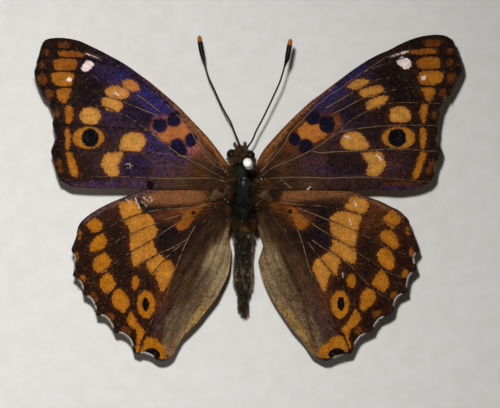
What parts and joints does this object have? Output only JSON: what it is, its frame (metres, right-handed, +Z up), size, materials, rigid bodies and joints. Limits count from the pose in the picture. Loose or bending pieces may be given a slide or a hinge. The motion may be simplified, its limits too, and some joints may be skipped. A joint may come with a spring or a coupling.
{
  "type": "pinned butterfly",
  "caption": "Dry set butterfly with spread scalloped wings, clubbed antennae and a hairy body, held up on a thin leaning pin with a bead head.",
  "frame": {"origin": "middle of the pin's flat cut foot, on the surface the specimen stands on", "axes": "+Z up, square to the wings; +Y towards the head; +X towards the right wings as seen from above with the head up"},
  "size_m": [0.0623, 0.0478, 0.021],
  "materials": {
    "pin_steel": "black enamelled steel",
    "bead_white": "glossy white",
    "thorax_hair": "dry horn with brown hair, bald and dark along the middle",
    "abdomen_hair": "dry horn with dark brown scales and hair",
    "head_hair": "brown hair",
    "eye_black": "glossy black",
    "horn_brown": "dry brown horn",
    "antenna_black": "dry black horn with an orange tip",
    "forewing_scales": "near-black brown scales with orange and white spots and a violet sheen",
    "hindwing_scales": "brown scales with orange bands",
    "leg_brown": "dry brown horn"
  },
  "bodies": {
    "root": {"pin_shaft": "pin_steel", "pin_head": "bead_white", "thorax": "thorax_hair", "abdomen": "abdomen_hair", "head": "head_hair", "eye_left": "eye_black", "eye_right": "eye_black", "palp_left": "head_hair", "palp_right": "head_hair", "proboscis": "horn_brown", "antenna_left": "antenna_black", "antenna_right": "antenna_black", "forewing_left": "forewing_scales", "forewing_right": "forewing_scales", "hindwing_left": "hindwing_scales", "hindwing_right": "hindwing_scales", "leg_fore_left": "leg_brown", "leg_fore_right": "leg_brown", "leg_mid_left": "leg_brown", "leg_mid_right": "leg_brown", "leg_hind_left": "leg_brown", "leg_hind_right": "leg_brown"}
  },
  "joints": []
}
